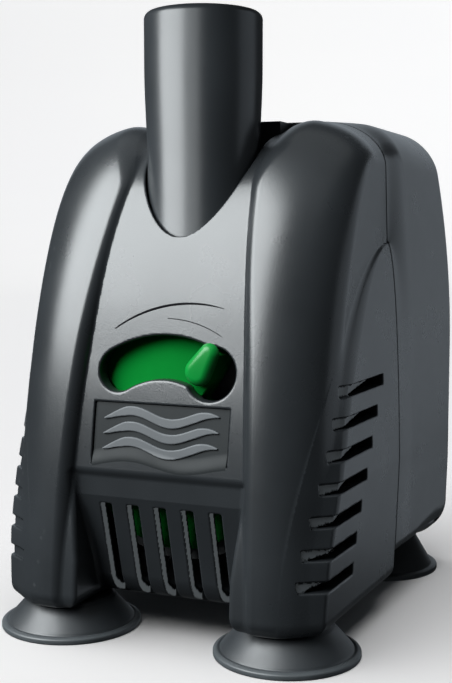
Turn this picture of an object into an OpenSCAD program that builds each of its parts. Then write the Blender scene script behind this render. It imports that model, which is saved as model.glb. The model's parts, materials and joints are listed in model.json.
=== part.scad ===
// Submersible circulation pump: a two-part casing on suction cups, a straight outlet tube,
// a rotary flow regulator behind the front grille, and a wet-rotor synchronous motor.
// Frame: X to the right, Y to the back, Z up. The origin is the centre of the footprint on the floor.

/* [Casing] */
// Height of the casing's top above the floor
casing_top = 78; // [74:0.5:82]
// Distance from the origin to the front of the side rails
casing_front = 34; // [32:0.5:35]
// Distance from the origin to the back face
casing_back = 33.9; // [32:0.1:34.5]
// Half-width of the front cover above its flared skirt
shoulder_half = 24.9; // [23.5:0.1:26]
// Half-width of the rear housing near its back corners
back_half = 29.4; // [28:0.1:30]
// Y of the joint between front cover and rear housing
parting_y = 0.6; // [0:0.1:1]
// Thickness of both casing shells
wall = 2; // [1.6:0.1:2.4]
// Underside of the front cover
cover_floor = 4.8; // [4:0.1:5.5]
// Underside of the rear housing
housing_floor = 7; // [6:0.1:8]

/* [Grille] */
// Number of upright slots in the front grille
grille_slots = 5; // [3:2:7]
// Spacing of the grille slots
grille_pitch = 4.38; // [4:0.01:4.6]
// Width of a grille slot
grille_slot_w = 2; // [1.6:0.1:2.2]
// Z of the lip where the panel ends above the grille
panel_lip = 25.4; // [24:0.1:26]
// Number of side louvres on each side
louvres = 7; // [5:1:7]
// Spacing of the side louvres
louvre_pitch = 4.36; // [4:0.01:4.5]
// Height of a side louvre
louvre_h = 1.6; // [1.2:0.1:2]

/* [Outlet] */
// Outer radius of the outlet tube
tube_r = 9; // [8.5:0.1:9.2]
// Inner radius of the outlet tube
tube_bore_r = 7.5; // [7:0.1:7.7]
// Top of the outlet tube
tube_top = 93.5; // [88:0.5:100]
// Y of the outlet tube's axis
tube_y = -13.5; // [-14:0.1:-13]

/* [Suction cups] */
// Half of the cup spacing across the pump
cup_x = 17.8; // [17:0.1:18]
// Half of the cup spacing along the pump
cup_y = 24.4; // [24:0.1:24.5]
// Radius of a cup's rim
cup_r = 10.75; // [10:0.05:10.75]

/* [Regulator] */
// Radius at which the knob travels
knob_travel_r = 14; // [13.8:0.1:14.2]
// Angle of the knob from upright as stored, towards +X
knob_angle = 22.5; // [10:0.5:24]
// Radius of the knob's broad inner end
knob_r = 2.3; // [2:0.1:2.4]
// Radius of the knob's narrower outer end
knob_tip_r = 1.45; // [1.2:0.05:1.5]
// Half-width of the knob's curved window
window_half = 3.15; // [3.05:0.05:3.3]
// Angle of the window's left end
window_left = -31; // [-32:1:-28]
// Angle of the window's right end
window_right = 31; // [30:1:33]

/* [Pump] */
// Height of the shaft above the floor
shaft_z = 28.5; // [28:0.1:29]
// Radius of the ceramic shaft
shaft_r = 1.5; // [1.4:0.05:1.6]
// Radial clearance of the rotor on its shaft
running_gap = 0.05; // [0.02:0.01:0.1]
// Outer radius of the impeller
impeller_r = 11; // [10:0.1:11.4]
// Number of impeller blades
blades = 6; // [4:1:8]
// Outer radius of the rotor magnet
magnet_r = 7; // [6.5:0.1:7.2]

/* [Hidden] */
$fn = 64;

// Casing outline: the front is a quarter ellipse in side view, centred over arch_y
arch_y = -5;
rail_depth = 1.8;
rail_corner = 7.5;
skirt_top = 59;
top_round = 7.5;
trough_half = tube_r + 0.4;
tube_foot = 46;
spigot_top = 58;
// Stations along the shaft, front to back
regulator_y = [-24.2, -22.6];
chamber_cover_y = [-22.4, -20.4];
volute_y = [-20.4, -7];
head_y = [-7, 1.5];
head_r = 17;
block_y = [1.5, 29];
well_end = 25;
well_r = 8;
well_wall = 1;
magnet_y = [5, 22];
core_y = [6.8, 20.8];
// Stator: legs stand on each side of the rotor and are joined by a yoke above the coils
leg_x = 12.8;
leg_w = 6.4;
core_z = [shaft_z - 8, 62];
coil_z = [40, 55.5];
block_half = 22.5;
block_z = [12, 68];
block_wall = 1.6;

function clamp01(t) = min(1, max(0, t));
function arc_fall(t) = sqrt(max(0, 1 - t * t));
function skirt(z) = z < skirt_top ? arc_fall((z - 2) / (skirt_top - 2)) : 0;

// How far the outline pulls in towards the top and towards the underside
function top_inset(z) =
    let (start = casing_top - top_round)
    z > start ? (top_round - 0.5) * (1 - arc_fall((z - start) / top_round)) : 0;
function floor_inset(z, floor_z, depth) = z < floor_z + depth ? 2.6 * pow(1 - (z - floor_z) / depth, 2) : 0;

// Front cover: rail crest, panel, side, and the flared skirt with its louvres
function crest_y(z) = arch_y - (casing_front + arch_y) * arc_fall(z / casing_top);
function crest_x(z) = 17.3 - 0.0745 * z;
function panel_x(z) = max(trough_half, z < panel_lip ? 12.1 + 0.11 * max(0, z - 12) : 14 - 0.00088 * z * z);
function panel_y(z) = arch_y - (casing_front + arch_y - rail_depth) * arc_fall(z / (casing_top - 1));
function grille_y(z) = -30 + 0.27 * max(0, 22 - z);
function front_y(z) = z < panel_lip ? grille_y(z) : panel_y(min(z, 76));
function joint_half(z) =
    25.2 + 2.75 * skirt(z) - 0.05 * max(0, 25 - z) - 0.03 * max(0, z - skirt_top) - top_inset(z);
function side_x(y, z) =
    let (corner_y = crest_y(z) + rail_corner, side = shoulder_half - top_inset(z),
         joint = 25.2 - 0.03 * max(0, z - skirt_top) - top_inset(z))
    y < corner_y
        ? crest_x(z) + (side - crest_x(z)) * arc_fall((corner_y - y) / rail_corner)
        : side + (joint - side) * (y - corner_y) / (parting_y - corner_y);
function crease_y(z) = min(parting_y - 2.4, 2 - (casing_front + 1) * skirt(z));
function flare_y(z) = crease_y(z) + max(0.8, (3 + 1.8 * clamp01((z - 15) / 15)) * skirt(z));
function flare_x(y, z) =
    let (f = clamp01(skirt(z) * 4))
    f * (joint_half(z) + 0.055 * (y - parting_y)) + (1 - f) * side_x(y, z);

function cover_half(z) =
    let (yc = crest_y(z), yk = crease_y(z), yl = flare_y(z))
    [[panel_x(z), front_y(z)],
     [crest_x(z) - 1.2, yc + 0.35], [crest_x(z), yc],
     for (s = [1:8]) let (y = yc + (yk - yc) * (1 - cos(90 * s / 8))) [side_x(y, z), y],
     [flare_x(yl, z), yl],
     for (s = [1:3]) let (y = yl + (parting_y - yl) * s / 3) [flare_x(y, z), y]];

// Rear housing
function back_x(z) = back_half - 0.0029 * pow(max(0, z - 40), 2) - 0.03 * max(0, 20 - z) - top_inset(z);
function housing_half(z) =
    let (r = 5, by = casing_back - top_inset(z), bx = back_x(z))
    [[joint_half(z), parting_y],
     [(joint_half(z) + bx) / 2, (parting_y + by - r) / 2],
     for (a = [0:18:90]) [bx - r + r * cos(a), by - r + r * sin(a)]];

// Loft helpers: a half outline is mirrored, shrunk by a wall thickness, and stacked
function mirrored(half) =
    concat(half, [for (i = [len(half) - 1:-1:0]) [-half[i][0], half[i][1]]]);
function unit(v) = v / max(1e-6, norm(v));
function shrunk(outline, t) =
    let (n = len(outline))
    [for (i = [0:n - 1])
        let (d = unit(outline[(i + 1) % n] - outline[(i + n - 1) % n]))
        outline[i] + t * [-d[1], d[0]]];
// Shrinks an outline but keeps its open end, the points numbered in ends, at end_y
function shrunk_open(half, t, ends, end_y) =
    let (full = mirrored(half), small = shrunk(full, t), n = len(full))
    [for (i = [0:n - 1]) i == ends[0] || i == ends[1]
        ? [full[i][0] - sign(full[i][0]) * t, end_y] : small[i]];
module loft(sections, levels) {
    n = len(sections[0]);
    m = len(levels);
    sides = [for (k = [0:m - 2]) for (i = [0:n - 1])
        let (j = (i + 1) % n, a = k * n + i, b = k * n + j)
        each [[a, b, b + n], [a, b + n, a + n]]];
    caps = [[for (i = [n - 1:-1:0]) i], [for (i = [0:n - 1]) (m - 1) * n + i]];
    faces = concat(sides, caps);
    polyhedron(
        [for (k = [0:m - 1]) for (p = sections[k]) [p[0], p[1], levels[k]]],
        [for (f = faces) [for (i = [len(f) - 1:-1:0]) f[i]]]);
}

cover_levels = concat([cover_floor, 5.4, 6.1, cover_floor + wall, 8.8, 12, 16, 20, 24.6, panel_lip, 26.4],
    [for (z = [30:4:66]) z], [69, 71.5, 73.5, 75.2, 76.5, 77.4, 78]);
housing_levels = concat([housing_floor, 7.8, housing_floor + wall, 10.8, 13, 20, 28, 36, 44, 52, 58, 64, 69],
    [71.5, 73.5, 75.2, 76.5, 77.4, 78]);
function stretch(z) = z + wall * clamp01((z - 50) / (casing_top - wall - 50));

cover_points = len(cover_half(30));
cover_ends = [cover_points - 1, cover_points];
housing_ends = [0, 2 * len(housing_half(30)) - 1];

module cover_outer() {
    loft([for (z = cover_levels)
        shrunk_open(cover_half(z), floor_inset(z, cover_floor, 4), cover_ends, parting_y)], cover_levels);
}
// The cavity's outline runs past the parting plane, so that the cover is open at the back
module cover_cavity() {
    levels = [for (z = cover_levels) if (z >= cover_floor + wall && z <= casing_top - wall) z];
    loft([for (z = levels) shrunk_open(cover_half(stretch(z)), wall, cover_ends, parting_y + 1)], levels);
}
module housing_outer() {
    loft(
        [for (z = housing_levels)
            shrunk_open(housing_half(z), floor_inset(z, housing_floor, 6), housing_ends, parting_y)],
        housing_levels);
}
module housing_cavity() {
    levels = [for (z = housing_levels) if (z >= housing_floor + wall && z <= casing_top - wall) z];
    loft([for (z = levels) shrunk_open(housing_half(stretch(z)), wall, housing_ends, parting_y - 1)], levels);
}

// Turns a shape drawn upright into one that lies along Y, from y0 towards +Y
module along_y(y0, x = 0, z = shaft_z) {
    translate([x, y0, z]) rotate([-90, 0, 0]) children();
}
module disc_y(span, r, z = shaft_z, x = 0) {
    along_y(span[0], x, z) cylinder(r = r, h = span[1] - span[0]);
}
// A sector drawn in the XZ plane about the shaft, angles counted from upright towards +X
module sector(r_in, r_out, a0, a1, y0, y1) {
    steps = 14;
    spread = [for (i = [0:steps]) a0 + (a1 - a0) * i / steps];
    translate([0, y1, shaft_z]) rotate([90, 0, 0]) linear_extrude(y1 - y0)
        polygon(concat([for (a = spread) r_out * [sin(a), cos(a)]],
                       [for (i = [steps:-1:0]) r_in * [sin(spread[i]), cos(spread[i])]]));
}

module knob_window() {
    r0 = knob_travel_r - window_half;
    r1 = knob_travel_r + window_half;
    sector(r0, r1, window_left, window_right, -34, -20);
    for (end = [[window_left, window_half], [window_right, window_half + 0.7]])
        translate([knob_travel_r * sin(end[0]), -34, shaft_z + knob_travel_r * cos(end[0])])
            rotate([-90, 0, 0]) cylinder(r = end[1], h = 14, $fn = 40);
}
// A strip that follows the panel, between two depths below its surface
module panel_strip(half_w, z0, z1, depth0, depth1) {
    rise = [for (i = [0:6]) z0 + (z1 - z0) * i / 6];
    rotate([90, 0, 90]) translate([0, 0, -half_w]) linear_extrude(2 * half_w)
        polygon(concat([for (z = rise) [panel_y(z) + depth0, z]],
                       [for (i = [6:-1:0]) [panel_y(rise[i]) + depth1, rise[i]]]));
}

module front_cover() {
    color([0.2, 0.21, 0.22]) difference() {
        cover_outer();
        difference() {
            cover_cavity();
            translate([-trough_half - 1.5, -30, 57]) cube([2 * trough_half + 3, 40, 30]);
        }
        translate([0, tube_y, 30]) cylinder(r = trough_half, h = 60);
        translate([-trough_half, tube_y, 30]) cube([2 * trough_half, 30, 60]);
        knob_window();
        panel_strip(10.75, 27, 36.1, -1, 0.95);
        for (i = [0:grille_slots - 1]) {
            x = (i - (grille_slots - 1) / 2) * grille_pitch;
            hull() {
                for (p = [[-30, 20.8], [-27, 8.4], [-22.4, 5]], dy = [-6, 5])
                    translate([x, p[0] + dy * 0.7, p[1] - (p[1] < 6 ? 4 : 0)])
                        cube([grille_slot_w, 0.01, 0.01], center = true);
            }
        }
        for (side = [-1, 1], i = [0:louvres - 1]) {
            z = 11.3 + i * louvre_pitch;
            y0 = flare_y(z) - 2.2;
            y1 = flare_y(z) + 10 + 4.4 * pow(i / (louvres - 1), 2);
            hull() {
                for (y = [y0, y1])
                    translate([side * 26, y, z + louvre_h / 2]) cube([8, 0.01, louvre_h], center = true);
            }
        }
        for (side = [-1, 1]) translate([side * cup_x, -cup_y, 0]) cylinder(r = 2.2, h = 9, $fn = 32);
    }
}

module cover_plaque() {
    color([0.25, 0.27, 0.28]) panel_strip(10.65, 27.1, 36, 0.35, 0.95);
}

module rear_housing() {
    rail_x = 10;
    inner_floor = housing_floor + wall;
    color([0.19, 0.2, 0.21]) {
        difference() {
            housing_outer();
            housing_cavity();
            disc_y([casing_back - 4, casing_back + 2], 3.6, 20);
            for (side = [-1, 1]) translate([side * cup_x, cup_y, 0]) cylinder(r = 2.2, h = 12, $fn = 32);
        }
        // Rails that carry the motor block
        for (side = [-1, 1], y = [8, 16, 24]) translate([side * rail_x, y, inner_floor - 0.5]) hull() {
            translate([-1, 0, 0]) cube([2, 4, block_z[0] - inner_floor + 0.4]);
            translate([-2, 0, 0]) cube([4, 4, 0.5]);
        }
    }
}

// Block on the rear housing that closes the trough behind the outlet tube
module tube_cradle() {
    cradle_z = [60, casing_top - 0.2];
    color([0.1, 0.1, 0.11]) difference() {
        translate([-trough_half + 0.2, -4.6, cradle_z[0]])
            cube([2 * trough_half - 0.4, parting_y + 4.6, cradle_z[1] - cradle_z[0]]);
        translate([0, tube_y, cradle_z[0] - 1]) cylinder(r = tube_r + 0.25, h = 40);
    }
}

module cable_gland() {
    color([0.12, 0.12, 0.13]) along_y(casing_back - wall - 1.5, 0, 20) rotate_extrude()
        polygon([[2.6, 0], [5, 0], [5, 1.4], [3.5, 1.4], [3.5, 3.6], [5.4, 3.6], [5.2, 4.2],
                 [4.4, 4.6], [2.6, 4.6]]);
}

module outlet_tube() {
    hose_end = 79;
    stem_r = tube_r - 0.45;
    outlet_r = tube_bore_r - 0.2;
    color([0.22, 0.24, 0.25]) translate([0, tube_y, 0]) rotate_extrude($fn = 96)
        polygon([[tube_bore_r, tube_foot], [stem_r, tube_foot], [stem_r, hose_end - 2], [tube_r, hose_end],
                 [tube_r, tube_top - 0.6], [tube_r - 0.6, tube_top], [outlet_r + 0.3, tube_top],
                 [outlet_r, tube_top - 0.3], [outlet_r, spigot_top + 0.3], [tube_bore_r, spigot_top + 0.2]]);
}

module outlet_seal() {
    color([0.1, 0.1, 0.1]) translate([0, tube_y, 54]) rotate_extrude()
        translate([6.75, 0]) circle(r = 0.7, $fn = 24);
}

module volute_casing() {
    color([0.17, 0.18, 0.19]) difference() {
        union() {
            disc_y(volute_y, 16);
            disc_y([volute_y[1] - 2, volute_y[1]], head_r);
            disc_y([volute_y[0], volute_y[0] + 2], head_r);
            translate([0, tube_y, shaft_z + 8]) cylinder(r = 6.4, h = tube_foot - shaft_z - 8);
            translate([0, tube_y, tube_foot - 0.3])
                cylinder(r = tube_bore_r - 0.05, h = spigot_top - tube_foot + 0.3);
        }
        disc_y([volute_y[0] - 1, volute_y[1] + 1], 12.4);
        translate([0, tube_y, shaft_z + 4]) cylinder(r = 5, h = 40);
        // Seats of the outlet seal and of the chamber seal
        translate([0, tube_y, 54]) rotate_extrude()
            translate([6.02, -0.8]) square([3, 1.6]);
        along_y(volute_y[1] - 1) rotate_extrude()
            translate([14.4, 0]) square([2, 2]);
    }
}

module chamber_cover() {
    color([0.15, 0.16, 0.17]) difference() {
        union() {
            disc_y(chamber_cover_y, head_r);
            disc_y([chamber_cover_y[1], chamber_cover_y[1] + 1.8], 4);
            disc_y([regulator_y[0] - 0.3, chamber_cover_y[0]], 2.4);
            disc_y([regulator_y[0] - 1.3, regulator_y[0] - 0.3], 3.1);
            disc_y([chamber_cover_y[1], chamber_cover_y[1] + 1], 12.3);
        }
        disc_y([chamber_cover_y[1] - 0.6, chamber_cover_y[1] + 3], 2.8);
        for (a = [0, 120, 240]) inlet_port(a, -26, -18);
    }
}
module inlet_port(a, y0, y1) {
    sector(4.6, 9.4, a - 30, a + 30, y0, y1);
}

module flow_regulator() {
    color([0.01, 0.45, 0.2]) difference() {
        union() {
            disc_y(regulator_y, 15.1);
            sector(10, 17.6, knob_angle - 68, knob_angle + 10, regulator_y[0], regulator_y[1]);
            knob();
        }
        disc_y([regulator_y[0] - 1, regulator_y[1] + 1], 2.4 + running_gap);
        for (a = [0, 120, 240]) inlet_port(a, -26, -21);
        // The notch beside the knob opens the bypass when the regulator is turned
        sector(9.6, 20, knob_angle + 11, knob_angle + 42, -26, -21);
    }
}
// A teardrop outline along +X from its broad end, with its flanks tangent to both ends
module teardrop(length, r0, r1) {
    lean = acos((r0 - r1) / length);
    polygon(concat(
        [for (i = [0:20]) let (a = lean + (360 - 2 * lean) * i / 20) r0 * [cos(a), sin(a)]],
        [for (i = [0:8]) let (a = lean * (i / 4 - 1)) [length, 0] + r1 * [cos(a), sin(a)]]));
}
// The knob's head hangs over the panel, and its stem fits through the window
module knob() {
    inner = knob_travel_r - 0.65;
    head_y = [-29.1, -27.7];
    head_length = 3.55;
    stem_length = 2.2;
    for (part = [[head_length, head_y], [stem_length, [head_y[1], regulator_y[1]]]])
        translate([0, part[1][1], shaft_z]) rotate([90, 0, 0]) rotate(90 - knob_angle)
            translate([inner, 0]) linear_extrude(part[1][1] - part[1][0])
                teardrop(part[0], knob_r, knob_tip_r);
}

module impeller() {
    color([0.82, 0.83, 0.84]) difference() {
        union() {
            disc_y([-17.8, -8.4], 4);
            disc_y([-9.4, -8.4], impeller_r);
            for (i = [0:blades - 1]) along_y(-17.4) rotate([0, 0, i * 360 / blades])
                translate([3, -0.6, 0]) cube([impeller_r - 3.2, 1.2, 8.4]);
        }
        disc_y([-19, -7], 3);
    }
}
module rotor_sleeve() {
    color([0.75, 0.76, 0.77]) difference() {
        disc_y([-17.8, 22.2], 3);
        disc_y([-19, 24], shaft_r + running_gap);
    }
}
module rotor_magnet() {
    color([0.3, 0.29, 0.3]) difference() {
        disc_y(magnet_y, magnet_r);
        disc_y([magnet_y[0] - 1, magnet_y[1] + 1], 3);
    }
}
module rotor_shaft() {
    color([0.93, 0.93, 0.9]) disc_y([-20.6, well_end - 1], shaft_r);
}
module bearing(span, r) {
    difference() {
        disc_y(span, r);
        disc_y([span[0] - 1, span[1] + 1], shaft_r);
    }
}
module front_bearing() {
    color([0.1, 0.1, 0.1]) bearing([chamber_cover_y[1] - 0.6, -18.6], 2.8);
}
module rear_bearing() {
    color([0.1, 0.1, 0.1]) bearing([22.6, well_end - 1], 5);
}

module rotor_well_outer() {
    disc_y([head_y[0], well_end], well_r + well_wall);
}
// Round base of the pump chamber with the closed tube in which the rotor runs
module rotor_well() {
    color([0.16, 0.17, 0.18]) difference() {
        union() {
            disc_y(head_y, head_r);
            rotor_well_outer();
        }
        disc_y([head_y[0] - 1, well_end - 1], well_r);
    }
}
module motor_housing() {
    color([0.14, 0.15, 0.16]) difference() {
        translate([-block_half, block_y[0], block_z[0]])
            cube([2 * block_half, block_y[1] - block_y[0], block_z[1] - block_z[0]]);
        translate([-block_half + block_wall, block_y[0] + block_wall, block_z[0] + block_wall])
            cube([2 * (block_half - block_wall), 40, block_z[1] - block_z[0] - 2 * block_wall]);
        rotor_well_outer();
    }
}

module leg(side, z0, z1, grow) {
    translate([side * leg_x - leg_w / 2 - grow, core_y[0] - grow, z0])
        cube([leg_w + 2 * grow, core_y[1] - core_y[0] + 2 * grow, z1 - z0]);
}
module stator_core() {
    color([0.45, 0.46, 0.48]) difference() {
        union() {
            for (side = [-1, 1]) leg(side, core_z[0], core_z[1], 0);
            translate([-leg_x - leg_w / 2, core_y[0], core_z[1] - 5.5])
                cube([2 * leg_x + leg_w, core_y[1] - core_y[0], 5.5]);
            for (side = [-1, 1]) translate([side > 0 ? 6 : -9.7, core_y[0], core_z[0]])
                cube([3.7, core_y[1] - core_y[0], 16]);
        }
        disc_y([core_y[0] - 1, core_y[1] + 1], well_r + well_wall);
    }
}
module coil_form(side) {
    leg(side, coil_z[0], coil_z[1], 0.9);
    for (z = [coil_z[0], coil_z[1] - 0.8]) leg(side, z, z + 0.8, 3.4);
}
module bobbin(side) {
    color([0.86, 0.84, 0.76]) difference() {
        coil_form(side);
        leg(side, coil_z[0] - 1, coil_z[1] + 1, 0);
    }
}
module winding(side) {
    color([0.72, 0.4, 0.2]) difference() {
        leg(side, coil_z[0] + 0.8, coil_z[1] - 0.8, 3);
        leg(side, coil_z[0], coil_z[1], 0.9);
    }
}
module bobbin_left() { bobbin(-1); }
module bobbin_right() { bobbin(1); }
module winding_left() { winding(-1); }
module winding_right() { winding(1); }

module potting_resin() {
    color([0.08, 0.08, 0.09]) difference() {
        translate([-block_half + block_wall, block_y[0] + block_wall, block_z[0] + block_wall])
            cube([2 * (block_half - block_wall), block_y[1] - block_y[0] - block_wall - 1,
                  block_z[1] - block_z[0] - 2 * block_wall]);
        rotor_well_outer();
        stator_core();
        for (side = [-1, 1]) {
            coil_form(side);
            winding(side);
        }
    }
}

module chamber_seal() {
    color([0.1, 0.1, 0.1]) along_y(volute_y[1] - 0.5) rotate_extrude()
        translate([15.4, 0]) circle(r = 0.5, $fn = 24);
}

// A cup's skirt stands on its flat rim, and a neck with a button holds it in the casing's floor
module suction_cup(x, y, seat) {
    color([0.2, 0.21, 0.22]) translate([x, y, 0]) rotate_extrude($fn = 96)
        polygon([[0, 2.6], [3, 2.5], [6, 1.9], [8.4, 0.9], [9.7, 0], [cup_r, 0], [cup_r, 0.7],
                 [cup_r - 0.3, 1], [cup_r - 0.9, 1.1], [8.3, 2.9],
                 [6.8, seat - 0.05 - (seat > 6 ? 1.2 : 0)], [6, seat - 0.05],
                 [2.1, seat - 0.05], [2.1, seat + wall + 0.1], [3.4, seat + wall + 0.2],
                 [3.2, seat + wall + 1], [1.8, seat + wall + 2.2], [0, seat + wall + 2.4]]);
}
module suction_cup_front_left() { suction_cup(-cup_x, -cup_y, cover_floor); }
module suction_cup_front_right() { suction_cup(cup_x, -cup_y, cover_floor); }
module suction_cup_rear_left() { suction_cup(-cup_x, cup_y, housing_floor); }
module suction_cup_rear_right() { suction_cup(cup_x, cup_y, housing_floor); }

front_cover();
cover_plaque();
rear_housing();
tube_cradle();
cable_gland();
outlet_tube();
outlet_seal();
volute_casing();
chamber_cover();
chamber_seal();
flow_regulator();
impeller();
rotor_sleeve();
rotor_magnet();
rotor_shaft();
front_bearing();
rear_bearing();
rotor_well();
motor_housing();
stator_core();
bobbin_left();
bobbin_right();
winding_left();
winding_right();
potting_resin();
suction_cup_front_left();
suction_cup_front_right();
suction_cup_rear_left();
suction_cup_rear_right();
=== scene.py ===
"""Looks of a submersible circulation pump.

The shells, the plaque and the regulator are drawn as fields: functions that say how far, in millimetres,
a point lies outside the shape. surface_object() meshes a field's zero surface. The tube and the cups are
turned profiles, and the inner parts keep their CAD shape. Positions are the frame's: the pump's front
faces -Y, and a point's x is taken as |x| wherever the two sides mirror each other.
"""

import itertools
import json
import math

import bmesh
import bpy
import numpy as np
import openvdb
from mathutils import Matrix, Vector

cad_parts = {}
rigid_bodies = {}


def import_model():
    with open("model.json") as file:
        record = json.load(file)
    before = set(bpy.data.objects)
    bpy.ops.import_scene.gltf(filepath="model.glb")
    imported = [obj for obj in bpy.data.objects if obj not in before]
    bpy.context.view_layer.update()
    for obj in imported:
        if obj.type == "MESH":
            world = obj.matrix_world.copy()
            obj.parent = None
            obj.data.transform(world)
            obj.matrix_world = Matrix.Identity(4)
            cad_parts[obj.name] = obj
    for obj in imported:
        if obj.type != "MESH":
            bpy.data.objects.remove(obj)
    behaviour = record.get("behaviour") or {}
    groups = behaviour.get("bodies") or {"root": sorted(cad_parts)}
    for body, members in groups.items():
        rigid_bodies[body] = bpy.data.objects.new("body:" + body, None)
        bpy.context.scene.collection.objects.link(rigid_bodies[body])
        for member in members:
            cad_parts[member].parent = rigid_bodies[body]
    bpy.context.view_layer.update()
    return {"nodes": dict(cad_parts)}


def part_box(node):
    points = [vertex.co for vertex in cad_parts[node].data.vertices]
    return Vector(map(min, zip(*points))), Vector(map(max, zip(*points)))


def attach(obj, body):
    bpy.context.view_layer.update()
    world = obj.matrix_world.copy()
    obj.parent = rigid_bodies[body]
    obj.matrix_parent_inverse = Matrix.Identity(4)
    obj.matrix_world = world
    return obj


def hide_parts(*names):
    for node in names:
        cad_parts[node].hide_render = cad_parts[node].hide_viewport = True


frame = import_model()

# Shapes are worked out in millimetres and built in metres
MM = 0.001


def box_mm(node):
    low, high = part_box(node)
    return low / MM, high / MM


cover_low, cover_high = box_mm("front_cover")
housing_low, housing_high = box_mm("rear_housing")
tube_low, tube_high = box_mm("outlet_tube")
plate_high = box_mm("flow_regulator")[1]
plaque_low, plaque_high = box_mm("cover_plaque")

# ---- Casing dimensions, in mm ------------------------------------------------------------
TOP = cover_high.z
FRONT = -cover_low.y
BACK = housing_high.y
PARTING = cover_high.y
# Seen from the side, the front is a quarter of an ellipse whose upright axis stands at ARCH_Y
ARCH_Y = -5.0
RAIL_AXES = (FRONT + ARCH_Y, TOP)
PANEL_DEPTH = RAIL_AXES[0] - 1.8
PANEL_TOP = TOP - 1.0
PANEL_LIP = 25.4
# Half-widths: behind the rails' rounded edges, at the joint of the shells, and at the back
SHOULDER = 24.9
JOINT_HALF = 25.2
BACK_HALF = 29.4
# The skirt steps out from the sides by SKIRT_STEP at its foot and fades out at SKIRT_TOP
SKIRT_FOOT = 2
SKIRT_TOP = 59.0
SKIRT_STEP = 2.75
# Slopes by which the sides close in above the skirt, and below FOOT_TOP
SIDE_LEAN = 0.03
FOOT_LEAN = 0.05
FOOT_TOP = 25
CORNER = 7.5
WALL = 2.0
# Each shell stops short of the parting plane by SEAM
SEAM = 0.07
TUBE_Y = (tube_low.y + tube_high.y) / 2
TUBE_R = tube_high.x
TROUGH = TUBE_R + 0.4
TROUGH_FRONT = TUBE_R - 0.15
TROUGH_WALL = 1.5
SHAFT_Z = 28.5
CUP = Vector((17.8, 24.4, 0))
CUP_HOLE_R = 2.3
GLAND_Z = 20
GLAND_R = 3.6
# The panel's openings are cut only ahead of this plane; behind it their fields are set to FAR
PANEL_ZONE_Y = -20
FAR = 9.0


# ---- Field helpers: negative inside, positive outside ------------------------------------
def clamp01(t):
    return np.clip(t, 0.0, 1.0)


def smooth(t):
    t = clamp01(t)
    return t * t * (3 - 2 * t)


def mix(a, b, t):
    return a + (b - a) * t


def rmax(a, b, r):
    """Intersection with a rounded edge of radius r."""
    return np.minimum(-r, np.maximum(a, b)) + np.hypot(np.maximum(a + r, 0), np.maximum(b + r, 0))


def rmin(a, b, r):
    """Union with a filleted corner of radius r."""
    return -rmax(-a, -b, r)


def ellipse_field(p, q, a, b):
    """How far (p, q) lies outside an ellipse of half-axes a and b, to first order."""
    near = np.hypot(p / a, q / b)
    far = np.hypot(p / a**2, q / b**2)
    return np.where(near < 1e-6, -np.minimum(a, b), near * (near - 1) / np.maximum(far, 1e-9))


# ---- Casing outline ----------------------------------------------------------------------
def skirt(z):
    """The skirt's profile: 1 at its foot, falling to 0 at its top along a quarter of an ellipse."""
    return np.sqrt(np.maximum(0, 1 - ((z - SKIRT_FOOT) / (SKIRT_TOP - SKIRT_FOOT)) ** 2))


def soft_skirt(z, softness):
    """The skirt's profile with its upper end eased out, for the rear housing."""
    s = 1 - ((z - SKIRT_FOOT) / (SKIRT_TOP - SKIRT_FOOT)) ** 2
    return np.sqrt(0.5 * (s + np.hypot(s, softness)))


def crest_x(z):
    """Where the rails' rounded outer edges start."""
    return 17.3 - 0.0745 * z


def panel_x(z):
    """Half-width of the sunken panel, which narrows upwards to the trough."""
    return np.maximum(TROUGH, 14 - 0.00088 * z * z)


def arch_field(y, z, axes):
    """How far a point lies outside the arched front and flat top."""
    return ellipse_field(np.maximum(ARCH_Y - y, 0), np.maximum(z, 0), axes[0], axes[1])


def panel_axes(z):
    """The panel's ellipse, drawn slightly fuller towards the foot of the outlet tube."""
    return PANEL_DEPTH + 1.1 * smooth((z - 42) / 20), PANEL_TOP


def foot_inset(z):
    """How far the sides have closed in towards their foot."""
    return FOOT_LEAN * np.maximum(0, FOOT_TOP - z)


def side_half(y, z):
    """Half-width of the casing, without the skirt's flare on the front cover."""
    lean = SIDE_LEAN * np.maximum(0, z - SKIRT_TOP)
    cover = mix(SHOULDER, JOINT_HALF - lean, clamp01((y + 20) / (20 + PARTING)))
    ease = 0.5 * smooth((y - PARTING) / 7)
    joint = JOINT_HALF + SKIRT_STEP * soft_skirt(z, ease) - foot_inset(z) - lean
    back = BACK_HALF - 0.0029 * np.maximum(0, z - 40) ** 2 - SIDE_LEAN * np.maximum(0, 20 - z)
    housing = mix(joint, back, clamp01((y - PARTING) / 29))
    return np.where(y > PARTING, housing, cover)


def envelope(x, y, z):
    """Rails, sides, top and back of the casing, without the skirt's flare and the front panel."""
    top_reach, back_round = 7.0, 5.2
    half = side_half(y, z)
    arch = arch_field(y, z, RAIL_AXES)
    reach = mix(half - crest_x(z), top_reach, smooth((y - ARCH_Y) / 13))
    body = ellipse_field(np.maximum(x - half + reach, 0), np.maximum(arch + CORNER, 0), reach, CORNER)
    return rmax(body, y - BACK, back_round)


def crease_y(z):
    """Where the side meets the slanted face of the skirt's flare."""
    return 2 - 35 * skirt(z)


def flare_y(z):
    """Where the slanted face meets the skirt's own side."""
    return crease_y(z) + (3 + 1.8 * clamp01((z - 15) / 15)) * skirt(z)


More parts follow.
